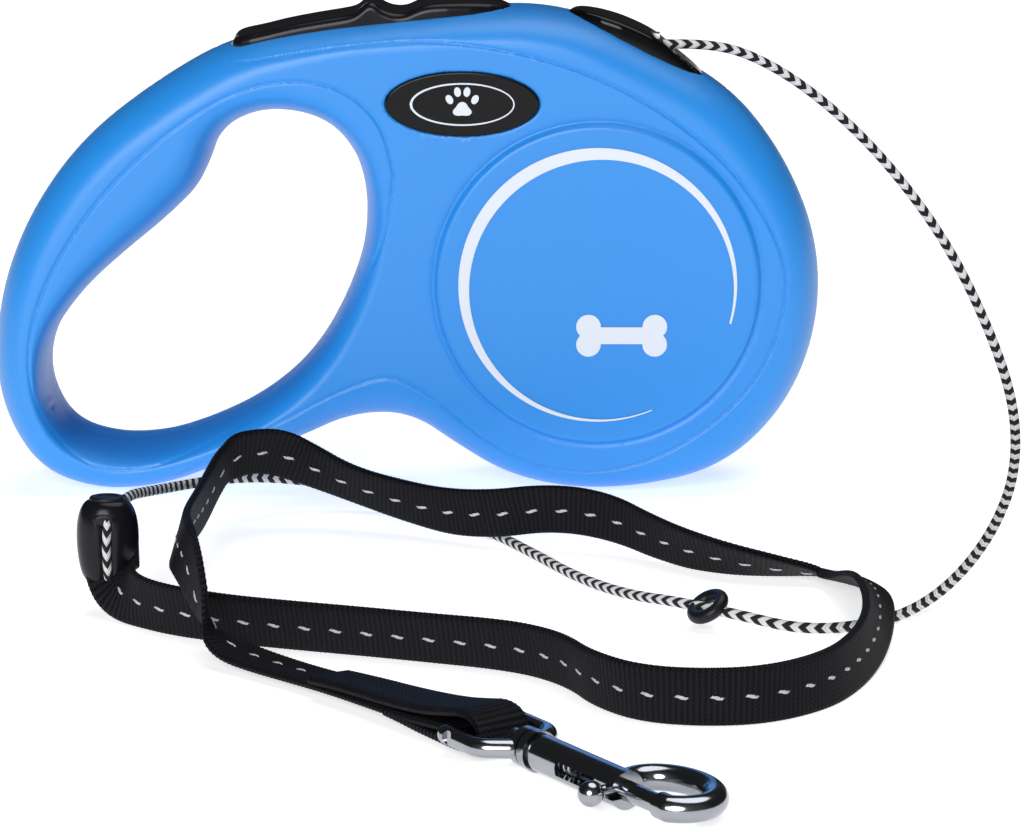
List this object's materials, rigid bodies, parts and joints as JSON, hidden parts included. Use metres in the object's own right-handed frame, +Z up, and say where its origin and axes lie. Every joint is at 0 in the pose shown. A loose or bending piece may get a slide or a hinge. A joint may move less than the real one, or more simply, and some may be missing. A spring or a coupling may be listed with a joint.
{
  "type": "retractable dog leash",
  "caption": "Retractable leash: a casing with a finger hole, a spring reel with a thumb brake, and a cord that ends in a webbing strap and a swivel snap hook.",
  "frame": {"origin": "middle of the casing's length and thickness, at the lowest point it stands on; the free cord, strap and hook are left out", "axes": "+X from the handle to the cord outlet, +Y away from the front name plate, +Z up from the base to the brake button"},
  "size_m": [0.1892, 0.2251, 0.0931],
  "materials": {
    "casing_plastic": "satin blue moulded plastic",
    "casing_plastic_rear": "satin blue moulded plastic",
    "label": "gloss black plate",
    "label_rear": "gloss black plate",
    "print": "pale print",
    "screws": "zinc plated",
    "nozzle": "gloss black",
    "eyelet": "polished steel",
    "button": "satin black",
    "carrier": "moulded",
    "pivot_pin": "steel",
    "brake_spring": "spring wire",
    "pawl": "acetal",
    "pawl_pin": "steel",
    "reel": "acetal",
    "spring_cover": "acetal",
    "mainspring": "blued spring steel",
    "wound_cord": "braided cord",
    "axle": "steel",
    "inner_cord": "braided cord",
    "cord": "white and black braid",
    "stopper": "black rubber",
    "connector": "satin black",
    "connector_cap": "satin black",
    "strap": "ribbed black webbing with a pale thread",
    "strap_end": "doubled and stitched webbing",
    "shackle": "polished",
    "shackle_bar": "polished",
    "hook": "polished",
    "bolt": "polished",
    "knob": "polished",
    "bolt_spring": "spring wire"
  },
  "bodies": {
    "casing": {"casing_front": "casing_plastic", "casing_rear": "casing_plastic_rear", "label_front": "label", "label_rear": "label_rear", "side_print": "print", "casing_screws": "screws", "nozzle": "nozzle", "nozzle_eyelet": "eyelet", "reel_axle": "axle", "pawl_pin": "pawl_pin", "mainspring": "mainspring", "inner_cord_run": "inner_cord", "leash_cord": "cord", "connector_shell": "connector", "connector_cap": "connector_cap", "leash_strap": "strap", "strap_end": "strap_end"},
    "carrier": {"brake_carrier": "carrier", "brake_pivot_pin": "pivot_pin", "brake_spring": "brake_spring"},
    "button": {"brake_button": "button"},
    "pawl": {"brake_pawl": "pawl"},
    "reel": {"reel": "reel", "spring_cover": "spring_cover", "cord_winding": "wound_cord"},
    "stopper": {"stopper_ring": "stopper"},
    "shackle": {"hook_shackle": "shackle", "shackle_bar": "shackle_bar"},
    "hook": {"hook_body": "hook", "hook_bolt_spring": "bolt_spring"},
    "bolt": {"hook_bolt": "bolt", "hook_knob": "knob"}
  },
  "joints": [
    {"name": "brake_lock", "type": "slide", "parent": "casing", "child": "carrier", "axis": [1, 0, 0], "range_m": [-0.002, 0]},
    {"name": "brake_press", "type": "hinge", "parent": "carrier", "child": "button", "pos_m": [0.014, 0, 0.0842], "axis": [0, -1, 0], "range_deg": [0, 4.3], "stiffness_Nm_per_rad": 0.6, "springref_deg": -2.86, "deforming": ["brake_spring"]},
    {"name": "pawl_drop", "type": "hinge", "parent": "casing", "child": "pawl", "pos_m": [0.0015, 0, 0.0755], "axis": [0, 1, 0], "range_deg": [0, 7]},
    {"name": "reel_spin", "type": "hinge", "parent": "casing", "child": "reel", "pos_m": [0.036, 0, 0.041], "axis": [0, 1, 0], "continuous": true},
    {"name": "stopper_slide", "type": "slide", "parent": "casing", "child": "stopper", "axis": [-0.7729, 0.6346, 0], "range_m": [-0.003, 0.003]},
    {"name": "shackle_pivot", "type": "hinge", "parent": "casing", "child": "shackle", "pos_m": [0.0167, -0.17051, 0.0033], "axis": [-0.8241, -0.5664, 0], "range_deg": [0, 60]},
    {"name": "hook_swivel", "type": "hinge", "parent": "shackle", "child": "hook", "pos_m": [0.0235, -0.1804, 0.0033], "axis": [0.5664, -0.8241, 0], "continuous": true},
    {"name": "bolt_slide", "type": "slide", "parent": "hook", "child": "bolt", "axis": [-0.5664, 0.8241, 0], "range_m": [0, 0.0055], "stiffness_N_per_m": 150, "springref_m": -0.003}
  ],
  "couplings": [
    {"joint": "pawl_drop", "follows": "brake_press", "ratio": 1.6}
  ]
}
